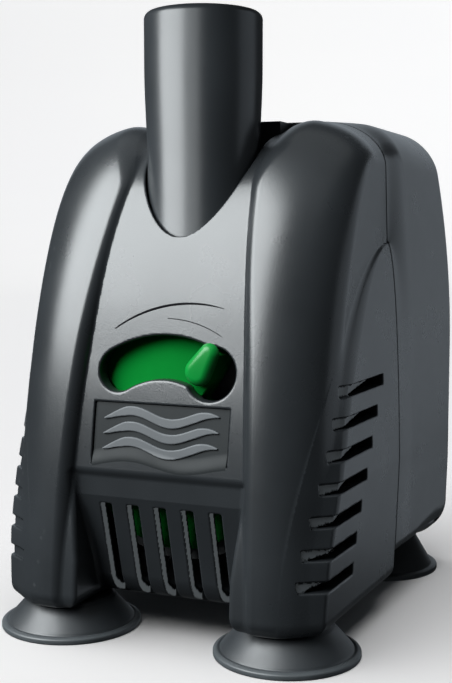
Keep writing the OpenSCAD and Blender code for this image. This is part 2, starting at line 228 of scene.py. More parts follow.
def flare(x, y, z):
    """The skirt that steps out behind a slanted face and carries the louvres."""
    widening = 0.055
    at_crease, at_flare = crease_y(z), flare_y(z)
    flare_half = JOINT_HALF + SKIRT_STEP * skirt(z) - foot_inset(z)
    corner_y = ARCH_Y - RAIL_AXES[0] * np.sqrt(np.maximum(0, 1 - (z / TOP) ** 2)) + CORNER
    turn = np.sqrt(np.maximum(0, 1 - clamp01((corner_y - at_crease) / CORNER) ** 2))
    x0 = mix(crest_x(z), side_half(np.maximum(at_crease, corner_y), z), turn) - 0.2
    x1 = flare_half + widening * (at_flare - PARTING)
    dx, dy = np.maximum(x1 - x0, 0), at_flare - at_crease + 0.02
    slanted = ((x - x0) * dy - (y - at_crease) * dx) / np.hypot(dx, dy)
    slanted = np.maximum(slanted, at_crease - 0.4 - y)
    side = x - flare_half - widening * (y - PARTING)
    body = rmax(side, slanted, 0.45) + 2 * np.maximum(0, z - SKIRT_TOP + 0.3)
    return rmax(body, arch_field(y, z, RAIL_AXES), 1.5)


def panel_groove(x, y, z):
    """What is taken away between the rails, down to the sunken panel."""
    sunk = arch_field(y, z, panel_axes(z))
    return rmax(x - panel_x(z) - 0.45 * np.clip(sunk, 0, 3), -sunk, 0.25)


def grille_recess(x, y, z):
    """What is taken away below the panel's lip: the grille's face is steep and turns under at its foot."""
    face = -30 + 0.27 * np.maximum(0, 22 - z) - y
    turn_y, turn_z = -26.9, 8.0
    undercut = -0.606 * (y - turn_y) - 0.795 * (z - turn_z)
    in_front = rmax(face, undercut, 1.4)
    sides = x - 12.1 - 0.11 * np.maximum(0, z - 12)
    return rmax(rmax(z - PANEL_LIP, sides, 0.3), -in_front, 0.7)


def cover_outer(x, y, z):
    """The front cover's outside; the rails' inner edges grow rounder towards their tops."""
    rail_inside = 1.3 + 5.2 * smooth((z - 67) / 10)
    body = rmax(envelope(x, y, z), -panel_groove(x, y, z), rail_inside)
    body = rmin(body, flare(x, y, z), 0.35)
    body = rmax(body, -grille_recess(x, y, z), 0.8)
    return rmax(body, cover_low.z - z, 2.4)


def trough(x, y):
    """The channel that the outlet tube lies in, open to the back."""
    half = TROUGH_FRONT + (TROUGH - TROUGH_FRONT) * smooth((y - TUBE_Y) / 8)
    return np.where(y < TUBE_Y, np.hypot(x, y - TUBE_Y), x) - half


# ---- Openings of the front cover ---------------------------------------------------------
# The window is an arc about the shaft, with a rounder lobe at its right-hand end
WINDOW_R = 14.0
WINDOW_HALF = 3.15
WINDOW_ENDS = (math.radians(-31.5), math.radians(31.4))
LOBE_R = 3.85
COLLAR = 1.3
# The grille has a slot in the middle and two on each side
SLOT_PITCH = 4.38
SLOT_HALF = 0.92
SLOT_TOP = 20.8
SLOT_BACK_Y = -22.2
LOUVRES = 7
LOUVRE_PITCH = 4.36
LOUVRE_HALF = 0.8
LOUVRE_LOW = 12.1
LOUVRE_LEAD = 2.2
LOUVRE_LENGTH = 12.2
LOUVRE_GROWTH = 4.4
LOUVRE_INNER_X = 17
POCKET_DEPTH = 0.55
# The trough has walls above CHANNEL_FOOT, and its channel is cut out above CHANNEL_CUT
CHANNEL_FOOT = 57
CHANNEL_CUT = 30
# The sill closes the foot of the cover's open back
SILL_TOP = 9.5
SILL_FRONT_Y = -1.2
CUP_HOLE_TOP = 9


def window(x, z):
    """The regulator's window, seen from the front."""
    up = z - SHAFT_Z
    angle = np.clip(np.arctan2(x, up), *WINDOW_ENDS)
    arc = np.hypot(x - WINDOW_R * np.sin(angle), up - WINDOW_R * np.cos(angle)) - WINDOW_HALF
    end = WINDOW_ENDS[1]
    lobe = np.hypot(x - WINDOW_R * math.sin(end), up - WINDOW_R * math.cos(end)) - LOBE_R
    return rmin(arc, lobe, 0.3)


PLAQUE_TOP = plaque_high.z - 0.35
PLAQUE_FOOT = plaque_low.z - 0.35
FOOT_WAVE = 0.62
FOOT_WAVE_LENGTH = 17


def plaque_bottom(x):
    """Height of the plaque's wavy lower edge."""
    return PLAQUE_FOOT - FOOT_WAVE * np.sin((x + 0.5) * 2 * math.pi / FOOT_WAVE_LENGTH)


def plaque_area(x, z, margin, tuck):
    """The plaque's outline, wider all round by margin and reaching further down by tuck."""
    sides = np.abs(x) - plaque_high.x - margin
    ends = np.maximum(z - PLAQUE_TOP - margin, plaque_bottom(x) - margin - tuck - z)
    return rmax(sides, ends, 0.15)


def louvre_cut(x, y, z, outer):
    """Slots whose openings grow from nothing, further back on the left; ahead of them each is a pocket."""
    index = np.clip(np.round((z - LOUVRE_LOW) / LOUVRE_PITCH), 0, LOUVRES - 1)
    rise = index / (LOUVRES - 1)
    centre = LOUVRE_LOW + LOUVRE_PITCH * index
    start = flare_y(centre) - LOUVRE_LEAD
    length = LOUVRE_LENGTH + LOUVRE_GROWTH * rise**2
    slot = rmax(np.abs(z - centre) - LOUVRE_HALF, np.abs(y - start - length / 2) - length / 2, 0.2)
    closed = np.where(x > 0, 0.6, 3.2)
    opened = clamp01((y - start - closed) / (length * (0.2 + 0.5 * rise)))
    through = np.maximum(slot, (z - centre + LOUVRE_HALF - 2 * LOUVRE_HALF * opened) * 0.95)
    pocket = np.maximum(slot, -outer - POCKET_DEPTH)
    return np.maximum(np.minimum(through, pocket), LOUVRE_INNER_X - np.abs(x))


def cover_field(x, y, z):
    """The front cover: a shell with the tube's channel, a collar, a sill and all its openings."""
    across = np.abs(x)
    in_panel = y < PANEL_ZONE_Y
    outer = cover_outer(across, y, z)
    shell = np.maximum(outer, -outer - WALL)
    channel = trough(across, y)
    shell = np.minimum(shell, np.maximum(np.maximum(channel - TROUGH_WALL, outer), CHANNEL_FOOT - z))
    opening = window(x, z)
    collar_back = dial_front(np.hypot(x, z - SHAFT_Z)) - 0.5
    collar = np.maximum(np.maximum(opening - COLLAR, outer), y - collar_back)
    shell = np.minimum(shell, np.where(in_panel, collar, FAR))
    sill = np.maximum(np.maximum(outer, SILL_FRONT_Y - y), z - SILL_TOP)
    shell = np.minimum(shell, sill)
    shell = rmax(shell, -np.maximum(channel, CHANNEL_CUT - z), 0.4)
    shell = rmax(shell, -np.where(in_panel, opening, FAR), 0.35)
    sunk = arch_field(y, z, panel_axes(z))
    recess = np.maximum(plaque_area(x, z, 0.12, -0.47), -sunk - 0.95)
    recess_edge = 0.03 + 0.19 * smooth((z - plaque_bottom(x) - 0.5) / 1.5)
    shell = rmax(shell, -np.where(in_panel, recess, FAR), recess_edge)
    column = np.clip(np.round(across / SLOT_PITCH), 0, 2) * SLOT_PITCH
    slot = rmax(np.abs(across - column) - SLOT_HALF, rmax(z - SLOT_TOP, y - SLOT_BACK_Y, 0.3), 0.25)
    shell = rmax(shell, -slot, 0.25)
    shell = rmax(shell, -louvre_cut(x, y, z, outer), 0.22)
    holes = np.hypot(across - CUP.x, y + CUP.y) - CUP_HOLE_R
    shell = np.maximum(shell, -np.maximum(holes, z - CUP_HOLE_TOP))
    return rmax(shell, y - PARTING + SEAM, 0.2)


# ---- Rear housing ------------------------------------------------------------------------
# A notch along each side's foot lifts its lower edge to SIDE_EDGE_Z, as far back as NOTCH_END_Y
SIDE_EDGE_Z = 9.0
NOTCH_WIDTH = 1.6
NOTCH_END_Y = 28.3
REAR_HOLE_TOP = 11


def housing_outer(x, y, z):
    """The rear shell's outside; its floor falls and grows rounder towards the back."""
    floor_z = mix(8.3, 5.9, clamp01((y - 15) / 11))
    body = rmax(envelope(x, y, z), floor_z - z, 2.6 + 3.2 * smooth((y - 12) / 14))
    under_side = rmax(z - SIDE_EDGE_Z, side_half(y, z) - NOTCH_WIDTH - x, 0.3)
    notch = rmax(under_side, y - NOTCH_END_Y, 0.3)
    return rmax(body, -notch, 0.35)


def housing_field(x, y, z):
    """The rear shell, open at the front, with holes for the gland and the cups."""
    across = np.abs(x)
    outer = housing_outer(across, y, z)
    shell = np.maximum(outer, -outer - WALL)
    shell = rmax(shell, PARTING + SEAM - y, 0.2)
    gland = np.hypot(x, z - GLAND_Z) - GLAND_R
    shell = rmax(shell, -np.maximum(gland, BACK - 5 - y), 0.3)
    holes = np.hypot(across - CUP.x, y - CUP.y) - CUP_HOLE_R
    return np.maximum(shell, -np.maximum(holes, z - REAR_HOLE_TOP))


# ---- Regulator ---------------------------------------------------------------------------
PLATE_BACK = plate_high.y
PLATE_FRONT = PLATE_BACK - 1.6
PLATE_R = 15.1
BORE_R = 2.45
# The band behind the window and the gap beside it: their radii, and their ends in degrees from
# SECTORS_FROM_DEG, which is near the knob's angle
SECTORS_FROM_DEG = 22.5
BAND = (10, 17.6)
BAND_ENDS = (-68, 10)
BAND_SLOPE = 0.33
GAP = (9.6, 20)
GAP_ENDS = (11, 42)
PORTS = (4.6, 9.4)
PORT_HALF_DEG = 30
KNOB_ANGLE = math.radians(24)
# Each end of the knob: its distance from the shaft and its radius
KNOB_INNER = (13.35, 2.3)
KNOB_TIP = (16.6, 1.75)
KNOB_LEAN = math.radians(8)
KNOB_FRONT = -29.1
KNOB_HEAD_BACK = -27.7
KNOB_STEM_REACH = 17.0
KNOB_CROWN = (6.0, 13.2)


def dial_front(radius):
    """The dial's visible band stands forward at its inner edge, to follow the sloping panel."""
    return PLATE_FRONT - BAND_SLOPE * np.clip(BAND[1] - radius, 0, 7.4)


def sector_field(radius, angle, inner, outer, low_deg, high_deg):
    """A piece of a ring between two radii and two angles, with rounded corners."""
    middle = math.radians((low_deg + high_deg) / 2)
    spread = math.radians((high_deg - low_deg) / 2)
    turn = np.abs((angle - middle + math.pi) % (2 * math.pi) - math.pi) - spread
    return rmax(np.maximum(inner - radius, radius - outer), turn * radius, 0.25)


def knob_outline(x, up):
    """A teardrop: a round inner end that tapers to a smaller round tip, which leans outwards."""
    dx, dz = x - KNOB_INNER[0] * math.sin(KNOB_ANGLE), up - KNOB_INNER[0] * math.cos(KNOB_ANGLE)
    turn = KNOB_ANGLE + KNOB_LEAN
    along = dx * math.sin(turn) + dz * math.cos(turn)
    across = np.abs(dx * math.cos(turn) - dz * math.sin(turn))
    length = KNOB_TIP[0] - KNOB_INNER[0]
    # The flanks close in by an angle with this sine and cosine
    sine = (KNOB_INNER[1] - KNOB_TIP[1]) / length
    cosine = math.sqrt(1 - sine * sine)
    reached = cosine * along - sine * across
    flank = cosine * across + sine * along - KNOB_INNER[1]
    inner_end = np.hypot(across, along) - KNOB_INNER[1]
    tip = np.hypot(across, along - length) - KNOB_TIP[1]
    return np.where(reached < 0, inner_end, np.where(reached > cosine * length, tip, flank))


def regulator_field(x, y, z):
    """The shutter disc with its ports, its raised band and gap, and the knob on its stem."""
    up = z - SHAFT_Z
    radius, angle = np.hypot(x, up), np.arctan2(x, up)
    band_deg = [SECTORS_FROM_DEG + end for end in BAND_ENDS]
    gap_deg = [SECTORS_FROM_DEG + end for end in GAP_ENDS]
    band = sector_field(radius, angle, *BAND, *band_deg)
    plate = rmin(radius - PLATE_R, band, 0.4)
    plate = np.maximum(plate, -sector_field(radius, angle, *GAP, *gap_deg))
    plate = np.maximum(plate, BORE_R - radius)
    for turn in (0, 120, 240):
        port = sector_field(radius, angle, *PORTS, turn - PORT_HALF_DEG, turn + PORT_HALF_DEG)
        plate = np.maximum(plate, -port)
    plate = rmax(plate, np.maximum(PLATE_FRONT - y, y - PLATE_BACK), 0.2)
    raised_band = rmax(band, np.maximum(dial_front(radius) - y, y - PLATE_BACK), 0.25)
    plate = np.minimum(plate, raised_band)
    draft = 0.07 * (PLATE_FRONT - y)
    crown = 0.03 * ((x - KNOB_CROWN[0]) ** 2 + (up - KNOB_CROWN[1]) ** 2)
    knob = rmax(knob_outline(x, up) + draft, KNOB_FRONT + crown - y, 1.1)
    knob = np.maximum(knob, np.minimum(y - KNOB_HEAD_BACK, radius - KNOB_STEM_REACH))
    knob = np.maximum(knob, y - PLATE_FRONT - 0.5)
    return rmin(plate, knob, 0.35)


# ---- Plaque ------------------------------------------------------------------------------
WAVES = 3
WAVE_LOW = 29.5
WAVE_PITCH = 2.2
WAVE_RISE = 0.75
WAVE_LENGTH = 12.5
WAVE_HALF = 0.62
WAVE_REACH = 9.2
RELIEF_HEIGHT = 0.26


def plaque_sunk(x, z):
    """How far the plaque's face lies below the panel; it rises past the panel and dives under it again
    at its wavy lower edge, so that the two meet there without a step."""
    rise = z - plaque_bottom(x)
    return 0.41 * smooth((rise - 0.4) / 2.0) + 0.1 * clamp01((0.3 - rise) / 0.9) - 0.03


def plaque_field(x, y, z):
    """The plaque: a slab that follows the panel's curve."""
    depth = -arch_field(y, z, panel_axes(z))
    slab = np.maximum(plaque_sunk(x, z) - depth, depth - 0.93)
    return rmax(slab, plaque_area(x, z, 0.08, 0.3), 0.12)


def relief_field(x, y, z):
    """Three raised wave bands that taper to both ends, standing on the plaque."""
    depth = -arch_field(y, z, panel_axes(z))
    waves = FAR
    half = WAVE_HALF * clamp01((9.3 - np.abs(x)) / 3.5) ** 0.7 + 0.02
    for i in range(WAVES):
        crest = WAVE_LOW + WAVE_PITCH * i - WAVE_RISE * np.sin((x + 1.5) * 2 * math.pi / WAVE_LENGTH)
        waves = np.minimum(waves, np.abs(z - crest) * 0.93 - half)
    sunk = plaque_sunk(x, z)
    band = rmax(waves, sunk - RELIEF_HEIGHT - depth, 0.15)
    return np.maximum(np.maximum(band, depth - sunk - 0.05), np.abs(x) - WAVE_REACH)


# ---- Meshing -----------------------------------------------------------------------------
# Cell sizes of the sampling grids, in mm: coarser for a draft
SHELL_CELL = 0.24
PLAQUE_CELL = 0.15
RELIEF_CELL = 0.14
REGULATOR_CELL = 0.18
BLOCK = 16


def gradient(field, points, step=0.02):
    grad = np.empty_like(points)
    for axis in range(3):
        ahead, behind = points.copy(), points.copy()
        ahead[:, axis] += step
        behind[:, axis] -= step
        grad[:, axis] = (field(*ahead.T) - field(*behind.T)) / (2 * step)
    return grad


def sampled(field, low, high, cell):
    """The field's values on a grid. Blocks of cells that lie far from the surface are filled in flat."""
    axes = [np.arange(a, b + cell, cell) for a, b in zip(low, high)]
    counts = [len(axis) for axis in axes]
    values = np.empty(counts, np.float32)
    reach = 0.9 * BLOCK * cell
    for corner in itertools.product(*(range(0, count, BLOCK) for count in counts)):
        part = tuple(slice(start, start + BLOCK) for start in corner)
        places = [axis[cut] for axis, cut in zip(axes, part)]
        probes = [place[[0, len(place) // 2, -1]] for place in places]
        coarse = field(*np.meshgrid(*probes, indexing="ij"))
        if np.abs(coarse).min() > reach:
            values[part] = math.copysign(3 * cell, coarse[1, 1, 1])
        else:
            values[part] = field(*np.meshgrid(*places, indexing="ij"))
    return values


def onto_surface(field, points, cell, rounds=3):
    """Moves points onto the field's zero surface, a little at a time."""
    for _ in range(rounds):
        value = field(*points.T)
        grad = gradient(field, points)
        step = -value[:, None] * grad / np.maximum((grad**2).sum(1), 0.05)[:, None]
        length = np.linalg.norm(step, axis=1, keepdims=True)
        points = points + step * np.minimum(1, 0.6 * cell / np.maximum(length, 1e-9))
    return points


def link(obj):
    bpy.context.scene.collection.objects.link(obj)
    return obj


def evened(points, quads, rounds=2):
    """Evens out the quads, which are narrow where the surface leaves one layer of cells for the next."""
    start, end = np.concatenate([quads[:, [i, (i + 1) % 4]] for i in range(4)]).T
    count = np.maximum(np.bincount(start, minlength=len(points)), 1)
    for _ in range(rounds):
        mean = [np.bincount(start, weights=points[end, k], minlength=len(points)) / count for k in range(3)]
        points = mix(points, np.stack(mean, axis=1), 0.5)
    return points


def surface_object(name, field, low, high, cell):
    """A closed mesh of the field's zero surface, with normals taken from the field."""
    low = [v - 2 * cell for v in low]
    high = [v + 2 * cell for v in high]
    grid = openvdb.FloatGrid(3 * cell)
    grid.copyFromArray(np.clip(sampled(field, low, high, cell), -3 * cell, 3 * cell))
    points, _, quads = grid.convertToPolygons(isovalue=0.0)
    points = onto_surface(field, evened(points.astype(float), quads) * cell + low, cell)
    normals = gradient(field, points)
    normals /= np.maximum(np.linalg.norm(normals, axis=1, keepdims=True), 1e-9)
    corner = points[quads[:, :3]]
    facing = np.cross(corner[:, 1] - corner[:, 0], corner[:, 2] - corner[:, 0])
    if (facing * normals[quads[:, 0]]).sum() < 0:
        quads = quads[:, ::-1]
    mesh = bpy.data.meshes.new(name)
    mesh.from_pydata((points * MM).tolist(), [], quads.tolist())
    mesh.validate()
    mesh.polygons.foreach_set("use_smooth", np.ones(len(mesh.polygons), bool))
    mesh.normals_split_custom_set_from_vertices(normals.tolist())
    return link(bpy.data.objects.new(name, mesh))


def finished(name, bm):
    """Makes an object of a mesh that was built in millimetres."""
    bmesh.ops.scale(bm, vec=(MM, MM, MM), verts=bm.verts)
    mesh = bpy.data.meshes.new(name)
    bm.to_mesh(mesh)
    bm.free()
    return link(bpy.data.objects.new(name, mesh))


def lathe(name, profile, centre, segments=128, sharp_deg=32):
    """Turns (radius, height) points about an upright axis; a zero radius closes on the axis."""
    bm = bmesh.new()
    rings = []
    cx, cy = centre
    turns = [2 * math.pi * i / segments for i in range(segments)]
    for radius, height in profile:
        if radius == 0:
            rings.append([bm.verts.new((cx, cy, height))])
            continue
        ring = [(cx + radius * math.cos(turn), cy + radius * math.sin(turn), height) for turn in turns]
        rings.append([bm.verts.new(point) for point in ring])
    closed = profile[0][0] > 0 and profile[-1][0] > 0
    pairs = list(zip(rings, rings[1:])) + ([(rings[-1], rings[0])] if closed else [])
    for lower, upper in pairs:
        for i in range(segments):
            j = (i + 1) % segments
            # A ring of one point on the axis makes the quad a triangle
            face = [ring[k % len(ring)] for ring, k in ((lower, i), (lower, j), (upper, j), (upper, i))]
            bm.faces.new(list(dict.fromkeys(face)))
    bmesh.ops.recalc_face_normals(bm, faces=bm.faces)
    for face in bm.faces:
        face.smooth = True
    for edge in bm.edges:
        edge.smooth = edge.calc_face_angle(0) < math.radians(sharp_deg)
    return finished(name, bm)


def rounded(points, fillets, steps=6):
    """Rounds each corner of a polyline that has a fillet radius."""
    result = []
    count = len(points)
    for i, (point, radius) in enumerate(zip(points, fillets)):
        if radius == 0:
            result.append(tuple(point))
            continue
        here = Vector(point)
        to_last = (Vector(points[i - 1]) - here).normalized()
        to_next = (Vector(points[(i + 1) % count]) - here).normalized()
        half_angle = to_last.angle(to_next) / 2
        reach = radius / math.tan(half_angle)
        centre = here + (to_last + to_next).normalized() * radius / math.sin(half_angle)
        start, end = here + to_last * reach - centre, here + to_next * reach - centre
        for k in range(steps + 1):
            arm = start.slerp(end, k / steps)
            result.append(tuple(centre + arm * radius))
    return result


# ---- Materials ---------------------------------------------------------------------------
NOISE_TILT = (0.61, 0.43, 0.87)


class Nodes:
    """Builds a node tree with short calls."""

    def __init__(self, name):
        self.material = bpy.data.materials.new(name)
        self.material.use_nodes = True
        self.tree = self.material.node_tree
        self.shader = self.tree.nodes["Principled BSDF"]
        self.coords = self.add("ShaderNodeTexCoord").outputs["Object"]

    def add(self, kind, inputs=None, **settings):
        node = self.tree.nodes.new(kind)
        for key, value in settings.items():
            setattr(node, key, value)
        for key, value in (inputs or {}).items():
            self.feed(node.inputs[key], value)
        return node

    def feed(self, socket, value):
        if isinstance(value, bpy.types.NodeSocket):
            self.tree.links.new(value, socket)
        else:
            socket.default_value = value

    def noise(self, scale, detail=3.0):
        """Noise whose lattice is tilted, or it shows as rings where a flat face lies along it."""
        place = self.add("ShaderNodeMapping", {"Vector": self.coords, "Rotation": NOISE_TILT})
        made = self.add("ShaderNodeTexNoise",
                        {"Vector": place.outputs[0], "Scale": scale, "Detail": detail, "Roughness": 0.55})
        return made.outputs["Fac"]

    def spread(self, value, low, high, to_low, to_high):
        made = self.add("ShaderNodeMapRange", {"Value": value, "From Min": low, "From Max": high,
                                               "To Min": to_low, "To Max": to_high})
        return made.outputs["Result"]

    def blend(self, factor, a, b):
        made = self.add("ShaderNodeMix", data_type="RGBA")
        self.feed(made.inputs["Factor"], factor)
        self.feed(made.inputs[6], a)
        self.feed(made.inputs[7], b)
        return made.outputs[2]

    def maths(self, operation, a, b=0.0):
        made = self.add("ShaderNodeMath", operation=operation)
        self.feed(made.inputs[0], a)
        self.feed(made.inputs[1], b)
        return made.outputs[0]

    def bump(self, height, strength, distance_mm):
        made = self.add("ShaderNodeBump",
                        {"Height": height, "Strength": strength, "Distance": distance_mm * MM})
        return made.outputs["Normal"]

    def set(self, **inputs):
        """Feeds the shader's inputs, whose names are given with _ for a space."""
        for key, value in inputs.items():
            self.feed(self.shader.inputs[key.replace("_", " ")], value)


def rgba(colour, gain=1.0):
    return (*(channel * gain for channel in colour), 1.0)


def moulded(name, colour, rough, grain_mm=0.22, grain=0.25, wear=0.35, **shader):
    """Moulded plastic or rubber: mottled colour, uneven gloss, fine grain and paler worn edges."""
    n = Nodes(name)
    mottle = n.noise(70, 4)
    body = n.blend(n.spread(mottle, 0.2, 0.8, 0, 1), rgba(colour, 0.8), rgba(colour, 1.2))
    edge = n.add("ShaderNodeNewGeometry").outputs["Pointiness"]
    scuffs = n.spread(n.noise(420, 3), 0.35, 0.6, 0, 1)
    worn = n.maths("MULTIPLY", n.spread(edge, 0.53, 0.62, 0, wear), scuffs)
    pale = tuple(channel * 1.6 + 0.03 for channel in colour)
    fine = n.noise(1000 / grain_mm, 2)
    n.set(Base_Color=n.blend(worn, body, rgba(pale)),
          Roughness=n.spread(n.noise(110, 4), 0.1, 0.9, rough * 0.88, rough * 1.14),
          Normal=n.bump(fine, grain, 0.035), **shader)
    return n.material


def cup_rubber():
    """Soft dark rubber whose thin rim is painted paler, standing in for light shining through the thin
    rubber.
    """
    n = Nodes("cup_rubber")
    rim = n.add("ShaderNodeAttribute", attribute_name="thinness").outputs["Fac"]
    rim_patchiness = n.spread(n.noise(260, 5), 0.4, 0.7, 0.0, 0.25)
    dark, bloom, pale = (0.012, 0.014, 0.016), (0.025, 0.028, 0.032), (0.05, 0.056, 0.06)
    body = n.blend(n.spread(n.noise(90, 3), 0.35, 0.65, 0, 0.4), rgba(dark), rgba(bloom))
    # Towards the thin rim the colour turns patchily paler: painted light shining through the rubber
    n.set(Base_Color=n.blend(n.maths("MULTIPLY", rim, n.maths("ADD", rim_patchiness, 0.75)), body, rgba(pale)),
          Roughness=n.spread(n.noise(200, 4), 0.3, 0.7, 0.4, 0.5),
          Subsurface_Weight=0.15, Subsurface_Radius=(0.8, 0.9, 1.0), Subsurface_Scale=0.6 * MM,
          Normal=n.bump(n.noise(2500, 2), 0.12, 0.02))
    return n.material


def lamination():
    """Stacked steel sheets seen on edge, lying along the shaft."""
    n = Nodes("lamination")
    sheets = n.add("ShaderNodeTexWave",
                   {"Vector": n.coords, "Scale": 320.0, "Distortion": 0.4, "Detail": 2.0},
                   wave_type="BANDS", bands_direction="Y").outputs["Fac"]
    rust = n.spread(n.noise(240, 5), 0.5, 0.72, 0, 0.5)
    steel = n.blend(sheets, rgba((0.2, 0.21, 0.23)), rgba((0.42, 0.43, 0.45)))
    n.set(Base_Color=n.blend(rust, steel, rgba((0.24, 0.15, 0.1))), Metallic=0.85,
          Roughness=n.spread(n.noise(300, 3), 0.3, 0.7, 0.35, 0.55), Normal=n.bump(sheets, 0.6, 0.06))
    return n.material


def copper():
    """Layers of enamelled wire, wound round an upright leg."""
    n = Nodes("copper")
    turns = n.add("ShaderNodeTexWave",
                  {"Vector": n.coords, "Scale": 480.0, "Distortion": 1.2, "Detail": 2.0},
                  wave_type="BANDS", bands_direction="Z", wave_profile="SIN").outputs["Fac"]
    shade = n.spread(n.noise(300, 4), 0.3, 0.7, 0, 1)
    n.set(Base_Color=n.blend(shade, rgba((0.45, 0.16, 0.06)), rgba((0.62, 0.27, 0.1))), Metallic=0.9,
          Roughness=n.spread(n.noise(500, 3), 0.3, 0.7, 0.25, 0.4), Coat_Weight=0.6,
          Normal=n.bump(turns, 0.8, 0.15))
    return n.material


# Colours are linear. The grille slots' side walls and the louvre pockets' floors get a paler colour and a
# faint emission: painted light that keeps them from going black
FAINT_GLOW = (0.85, 0.95, 1.0, 1.0)
MATERIALS = {
    "casing": moulded("casing", (0.015, 0.017, 0.019), 0.28, grain=0.34),
    "plaque": moulded("plaque", (0.008, 0.010, 0.011), 0.6, wear=0.2, Specular_IOR_Level=0.22),
    "outlet": moulded("outlet", (0.014, 0.016, 0.018), 0.3, grain=0.12, wear=0.15),
    "pump_plastic": moulded("pump_plastic", (0.01, 0.011, 0.012), 0.45),
    "regulator": moulded("regulator", (0.001, 0.16, 0.023), 0.36, grain=0.1, wear=0.1,
                         Specular_IOR_Level=0.3),
    # The dial: a darker, duller copy of the regulator's green, painted shade
    "dial": moulded("dial", (0.0002, 0.1, 0.012), 0.75, grain=0.1, wear=0.1, Specular_IOR_Level=0.02),
    "impeller": moulded("impeller", (0.68, 0.69, 0.7), 0.38, grain=0.15, wear=0.1),
    "ferrite": moulded("ferrite", (0.055, 0.053, 0.056), 0.5, grain_mm=0.12, grain=0.4, Metallic=0.35),
    "ceramic": moulded("ceramic", (0.82, 0.82, 0.77), 0.16, grain=0.03, wear=0.0, Coat_Weight=0.4),
    "seal_rubber": moulded("seal_rubber", (0.014, 0.014, 0.016), 0.62, grain=0.35),
    "lamination": lamination(),
    "bobbin": moulded("bobbin", (0.72, 0.69, 0.58), 0.42, grain=0.15, wear=0.1),
    "copper": copper(),
    "resin": moulded("resin", (0.012, 0.012, 0.015), 0.2, grain_mm=0.6, grain=0.1, Coat_Weight=0.3),
    "cup_rubber": cup_rubber(),
    "relief": moulded("relief", (0.05, 0.055, 0.06), 0.55, wear=0.4),
    # Near-black for the scale lines: painted shade
    "painted_shade_line": moulded("painted_shade_line", (0.002, 0.002, 0.003), 0.8, wear=0.0, Specular_IOR_Level=0.05),
    # Slot walls: paler than the casing and faintly glowing, painted light
    "painted_light_slot_wall": moulded("painted_light_slot_wall", (0.06, 0.066, 0.072), 0.6, Emission_Strength=0.07,
                        Emission_Color=FAINT_GLOW),
    # Pocket floors: paler than the casing and faintly glowing, painted light
    "pocket": moulded("pocket", (0.035, 0.039, 0.043), 0.5, Emission_Strength=0.02,
                      Emission_Color=FAINT_GLOW),
}


def dress(obj, slot, body=None, replaces=None, material=None):
    """Gives a piece its material and tells the frame which body it rides on and which node it replaces."""
    obj.data.materials.clear()
    obj.data.materials.append(MATERIALS[material or slot])
    if body is not None:
        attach(obj, body)
    if replaces is not None:
        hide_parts(replaces)
    return obj


# ---- Pieces ------------------------------------------------------------------------------
def face_arrays(obj):
    """The centres, in mm, and the normals of an object's faces."""
    count = len(obj.data.polygons)
    centre, normal = np.empty(3 * count), np.empty(3 * count)
    obj.data.polygons.foreach_get("center", centre)
    obj.data.polygons.foreach_get("normal", normal)
    return centre.reshape(-1, 3).T / MM, normal.reshape(-1, 3).T


def paint_openings(cover):
    """Gives the side walls of the grille slots and the floors of the louvre pockets paler, faintly glowing
    materials: painted light.
    """
    (x, y, z), normal = face_arrays(cover)
    across, faces_side = np.abs(x), np.abs(normal[0])
    depth = -cover_outer(across, y, z)
    column = np.round(across / SLOT_PITCH) * SLOT_PITCH
    on_wall = (np.abs(across - column) < SLOT_HALF + 0.04) & (depth < 1.35) & (faces_side > 0.8)
    in_grille = (across < 10.5) & (y < PANEL_ZONE_Y - 0.5) & (z < SLOT_TOP + 0.1)
    offset = np.abs((z - LOUVRE_LOW + LOUVRE_PITCH / 2) % LOUVRE_PITCH - LOUVRE_PITCH / 2)
    in_louvre = (x > LOUVRE_INNER_X) & (z > 10) & (z < 42) & (offset < LOUVRE_HALF - 0.2)
    on_floor = (np.abs(depth - POCKET_DEPTH) < 0.1) & (faces_side > 0.5)
    for slot in ("painted_light_slot_wall", "pocket"):
        cover.data.materials.append(MATERIALS[slot])
    # Slot walls and pocket floors take the paler, glowing materials: painted light
    index = (on_wall & in_grille) + 2 * (in_louvre & on_floor)
    cover.data.polygons.foreach_set("material_index", index.astype(np.int32))


def build_shells():
    cover = surface_object("cover_shell", cover_field, cover_low, cover_high, SHELL_CELL)
    dress(cover, "casing", "cover", "front_cover")
    paint_openings(cover)
    low = (housing_low.x, PARTING, 5.5)
    high = (housing_high.x, BACK, TOP)
    housing = surface_object("housing_shell", housing_field, low, high, SHELL_CELL)
    dress(housing, "casing", "pump", "rear_housing")


def build_plaque():
    low = (plaque_low.x, plaque_low.y - 0.6, plaque_low.z - 1.6)
    plaque = surface_object("wave_plaque", plaque_field, low, plaque_high, PLAQUE_CELL)
    dress(plaque, "plaque", "cover", "cover_plaque")
    low = (-9.5, plaque_low.y - 0.6, plaque_low.z)
    relief = surface_object("wave_relief", relief_field, low, plaque_high, RELIEF_CELL)
    dress(relief, "plaque", "cover", material="relief")


def build_regulator():
    low = (-16, KNOB_FRONT - 0.5, SHAFT_Z - 15.2)
    high = (16, plate_high.y, SHAFT_Z + 18.2)
    regulator = surface_object("regulator_disc", regulator_field, low, high, REGULATOR_CELL)
    dress(regulator, "regulator", "regulator", "flow_regulator")
    # The dial, one moulding with the knob, takes the darker, duller copy of its green: painted shade
    regulator.data.materials.append(MATERIALS["dial"])
    (x, y, z), _ = face_arrays(regulator)
    on_shaded_dial = (y > KNOB_HEAD_BACK) | (np.hypot(x, z - SHAFT_Z) < 10.5)
    regulator.data.polygons.foreach_set("material_index", on_shaded_dial.astype(np.int32))


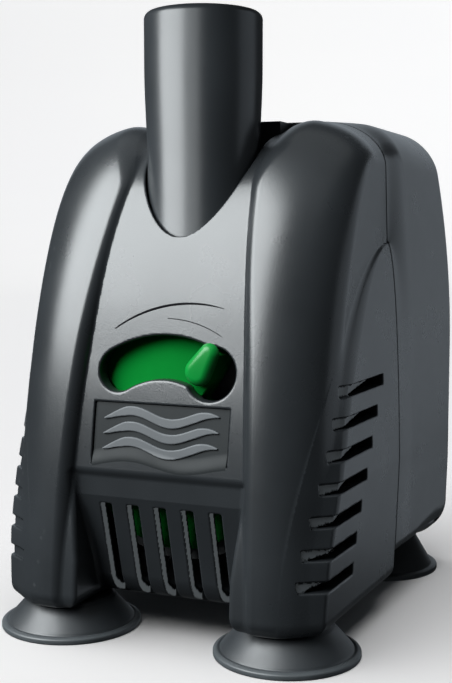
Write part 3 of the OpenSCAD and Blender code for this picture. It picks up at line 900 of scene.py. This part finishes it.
def arc_point(start, middle, end, t):
    """A point on the circle through three points, from start at t = 0 to end at t = 1."""
    (ax, az), (bx, bz), (cx, cz) = start, middle, end
    d = 2 * (ax * (bz - cz) + bx * (cz - az) + cx * (az - bz))
    a2, b2, c2 = ax * ax + az * az, bx * bx + bz * bz, cx * cx + cz * cz
    ox = (a2 * (bz - cz) + b2 * (cz - az) + c2 * (az - bz)) / d
    oz = (a2 * (cx - bx) + b2 * (ax - cx) + c2 * (bx - ax)) / d
    first, last = math.atan2(ax - ox, az - oz), math.atan2(cx - ox, cz - oz)
    angle = mix(first, last, t)
    radius = math.hypot(ax - ox, az - oz)
    return ox + radius * math.sin(angle), oz + radius * math.cos(angle), angle


def panel_y(z):
    """Where the panel's surface stands at a height."""
    a, b = panel_axes(z)
    return ARCH_Y - a * math.sqrt(1 - (z / b) ** 2)


def painted_shade_arc(name, start, middle, end, width, taper, steps=48):
    """A raised dark line on the panel, thick in its middle and fine at its ends: painted shade along the
    edge of the embossed flow scale.
    """
    sunk, raised = -0.05, 0.035
    bm = bmesh.new()
    sections = []
    for i in range(steps + 1):
        t = i / steps
        x, z, angle = arc_point(start, middle, end, t)
        half = width / 2 * (1 - taper + taper * math.sin(math.pi * min(1, 0.04 + t)) ** 0.6)
        ring = []
        for side, lift in ((-1, sunk), (-0.8, raised), (0.8, raised), (1, sunk)):
            px, pz = x + side * half * math.sin(angle), z + side * half * math.cos(angle)
            ring.append(bm.verts.new((px, panel_y(pz) - lift, pz)))
        sections.append(ring)
    for here, beyond in zip(sections, sections[1:]):
        for k in range(4):
            bm.faces.new((here[k], here[(k + 1) % 4], beyond[(k + 1) % 4], beyond[k]))
    bm.faces.new(sections[0])
    bm.faces.new(sections[-1][::-1])
    bmesh.ops.recalc_face_normals(bm, faces=bm.faces)
    dress(finished(name, bm), "plaque", "cover", material="painted_shade_line")


def build_tube():
    bore = TUBE_R - 1.7
    stem = TUBE_R - 0.45
    rim = tube_high.z
    # (radius, height) points up the outside and back down the bore, and the fillet at each
    outline = [(bore + 0.2, tube_low.z), (stem, tube_low.z), (stem, 72), (TUBE_R, 83), (TUBE_R, rim),
               (bore, rim), (bore, 58.3), (bore + 0.2, 58.1)]
    fillets = [0, 0.4, 140, 140, 1.1, 0.45, 0, 0]
    tube = lathe("outlet_pipe", rounded(outline, fillets, 10), (0, TUBE_Y))
    dress(tube, "outlet", "outlet", "outlet_tube")


def build_cup(name, centre, seat):
    """A suction cup; seat is the height of the casing's underside, which its neck passes through."""
    outline = [(0, 2.6), (3, 2.5), (6, 1.9), (8.4, 0.9), (9.7, 0), (10.74, 0), (10.74, 0.75),
               (10.1, 1.05), (9.75, 0.95), (9.55, 1.3), (6.9, seat - 0.5), (6.3, seat), (2.1, seat),
               (2.1, seat + 2.4), (3.3, seat + 2.6), (3.1, seat + 3.2), (1.8, seat + 4.2), (0, seat + 4.4)]
    fillets = [0, 0, 2, 1, 0.3, 0.2, 0.3, 0.3, 0.12, 0.3, 0.5, 0.3, 0, 0, 0.2, 0.5, 0.8, 0]
    cup = lathe(name, rounded(outline, fillets, 5), centre, 112, 40)
    # How thin the rim is, for the rubber's painted light shining through it
    thin_from, thin_over = 9.3, 1.2
    thinness = cup.data.attributes.new("thinness", "FLOAT", "POINT")
    for vertex, value in zip(cup.data.vertices, thinness.data):
        radius = math.hypot(vertex.co.x / MM - centre[0], vertex.co.y / MM - centre[1])
        value.value = min(1.0, max(0.0, (radius - thin_from) / thin_over)) ** 1.5
    return cup


FRONT_SEAT = cover_low.z - 0.02
REAR_SEAT = 6.35


def build_cups():
    for along, row, body, seat in ((-1, "front", "cover", FRONT_SEAT), (1, "rear", "pump", REAR_SEAT)):
        for side, hand in ((-1, "left"), (1, "right")):
            cup = build_cup(f"cup_{row}_{hand}", (side * CUP.x, along * CUP.y), seat)
            dress(cup, "cup_rubber", body, f"suction_cup_{row}_{hand}")


CAD_SLOTS = {
    "cable_gland": "seal_rubber", "outlet_seal": "seal_rubber", "volute_casing": "pump_plastic",
    "chamber_cover": "pump_plastic", "chamber_seal": "seal_rubber", "impeller": "impeller",
    "rotor_sleeve": "impeller", "rotor_magnet": "ferrite", "rotor_shaft": "ceramic",
    "front_bearing": "seal_rubber", "rear_bearing": "seal_rubber", "motor_housing": "pump_plastic",
    "rotor_well": "pump_plastic", "tube_cradle": "pump_plastic",
    "stator_core": "lamination", "bobbin_left": "bobbin", "bobbin_right": "bobbin",
    "winding_left": "copper", "winding_right": "copper", "potting_resin": "resin",
}


def dress_cad_nodes():
    """CAD pieces keep their shape and get a material and softly broken edges."""
    for node, slot in CAD_SLOTS.items():
        obj = dress(frame["nodes"][node], slot)
        bevel = obj.modifiers.new("broken_edges", "BEVEL")
        bevel.width = 0.18 * MM
        bevel.segments = 2
        bevel.limit_method = "ANGLE"
        bevel.angle_limit = math.radians(40)


# ---- Studio ------------------------------------------------------------------------------
CAMERA_AT = Vector((0.072903, -0.17927, 0.06117))
CAMERA_AZIMUTH = math.radians(22.657)
CAMERA_PITCH = math.radians(5.543)
LIGHTS_AIM = Vector((0, 0, 0.045))
LIGHTS_DISTANCE = 0.75


def build_camera():
    data = bpy.data.cameras.new("camera")
    data.lens = 61.73
    data.sensor_width = 36
    data.clip_start = 0.01
    camera = link(bpy.data.objects.new("camera", data))
    turn = Matrix.Rotation(CAMERA_AZIMUTH, 4, "Z") @ Matrix.Rotation(math.pi / 2 - CAMERA_PITCH, 4, "X")
    camera.matrix_world = Matrix.Translation(CAMERA_AT) @ turn
    bpy.context.scene.camera = camera


def softbox(name, receivers, azimuth_deg, elevation_deg, width, height, radiance, colour):
    """An area light for some pieces only, placed by the direction in which the pump sees it."""
    azimuth, elevation = math.radians(azimuth_deg), math.radians(elevation_deg)
    level = math.cos(elevation)
    away = Vector((math.sin(azimuth) * level, -math.cos(azimuth) * level, math.sin(elevation)))
    data = bpy.data.lights.new(name, "AREA")
    data.shape = "RECTANGLE"
    data.size, data.size_y = width, height
    data.color = colour
    data.energy = radiance * math.pi * width * height
    light = link(bpy.data.objects.new(name, data))
    light.location = LIGHTS_AIM + away * LIGHTS_DISTANCE
    light.rotation_euler = away.to_track_quat("Z", "Y").to_euler()
    light.visible_camera = False
    light.light_linking.receiver_collection = receivers


def build_stage():
    """A pale round floor that curves up into a wall and doesn't mirror in the pump."""
    flat, bend, wall_top = 0.9, 0.5, 1.8
    steps = 12
    turns = [math.pi / 2 * i / steps for i in range(1, steps + 1)]
    profile = [(0, 0), (0.3, 0), (0.6, 0), (flat, 0)]
    profile += [(flat + bend * math.sin(turn), bend - bend * math.cos(turn)) for turn in turns]
    profile.append((flat + bend, wall_top))
    stage = lathe("studio_stage", [(r / MM, z / MM) for r, z in profile], (0, 0), 96, 60)
    n = Nodes("studio_paper")
    tone = n.spread(n.noise(3, 3), 0.3, 0.7, 0, 1)
    level = n.add("ShaderNodeSeparateXYZ", {"Vector": n.coords}).outputs["Z"]
    n.set(Base_Color=n.blend(tone, rgba((0.86, 0.86, 0.87)), rgba((0.88, 0.88, 0.88))),
          Roughness=n.spread(n.noise(40, 3), 0.3, 0.7, 0.9, 1.0), Specular_IOR_Level=0.1,
          Emission_Color=(1.0, 1.0, 1.0, 1.0), Emission_Strength=n.spread(level, 0.0, 0.35, 0.0, 0.5))
    stage.data.materials.append(n.material)
    stage.visible_glossy = False
    stage.visible_diffuse = False
    stage.visible_shadow = False
    return stage


def light_stage(stage):
    """A broad sun that reaches the stage only, so that the pump casts its soft shadow there."""
    receivers = bpy.data.collections.new("stage_pieces")
    receivers.objects.link(stage)
    data = bpy.data.lights.new("stage_sun", "SUN")
    data.angle = math.radians(70)
    data.energy = 3.15
    sun = link(bpy.data.objects.new("stage_sun", data))
    sun.rotation_euler = (math.radians(14), math.radians(-10), 0)
    sun.light_linking.receiver_collection = receivers


def light_groups():
    """The pieces that share lights: all but the tube, the same without the rear cups, and the tube."""
    names = ("body_pieces", "side_pieces", "tube_pieces")
    body, sides, tube = (bpy.data.collections.new(name) for name in names)
    for piece in list(bpy.context.scene.objects):
        if piece.type != "MESH":
            continue
        if piece.name == "outlet_pipe":
            tube.objects.link(piece)
            continue
        body.objects.link(piece)
        if not piece.name.startswith("cup_rear"):
            sides.objects.link(piece)
    return body, sides, tube


def light_pump(body, sides, tube):
    """Softboxes at set azimuths and elevations, in degrees: 0 is straight ahead of the pump."""
    white, cool = (0.94, 0.985, 1.0), (0.8, 0.9, 1.0)
    softbox("key_left", body, -41, 38, 0.68, 0.66, 14.0, white)
    softbox("fill_right", sides, 126, 0, 1.0, 0.6, 0.62, cool)
    softbox("tube_left", tube, -42, 8, 0.7, 0.8, 12.0, white)
    softbox("tube_front", tube, -2, 8, 0.45, 0.8, 3.2, white)
    softbox("tube_right", tube, 118, 8, 0.6, 0.8, 0.6, cool)
    softbox("overhead", body, 0, 85, 1.0, 1.0, 0.35, white)
    softbox("behind", body, 196, 14, 0.9, 0.7, 0.5, cool)


def build_world():
    world = bpy.data.worlds.new("studio")
    world.use_nodes = True
    background = world.node_tree.nodes["Background"]
    background.inputs["Color"].default_value = (0.85, 0.93, 1.0, 1.0)
    background.inputs["Strength"].default_value = 0.05
    bpy.context.scene.world = world
    bpy.context.scene.view_settings.view_transform = "Standard"


# ---- Putting it together -----------------------------------------------------------------
build_camera()
build_shells()
build_plaque()
build_regulator()
# Two dark lines on the panel: painted shade along the edges of the embossed flow scale
painted_shade_arc("scale_line_bold", (-8.5, 46.4), (0.1, 50.0), (8.6, 49.7), 0.4, 0.7)
painted_shade_arc("scale_line_fine", (-0.1, 48.1), (4.6, 47.45), (8.7, 45.7), 0.15, 0.5)
build_tube()
build_cups()
dress_cad_nodes()

groups = light_groups()
light_stage(build_stage())
light_pump(*groups)
build_world()
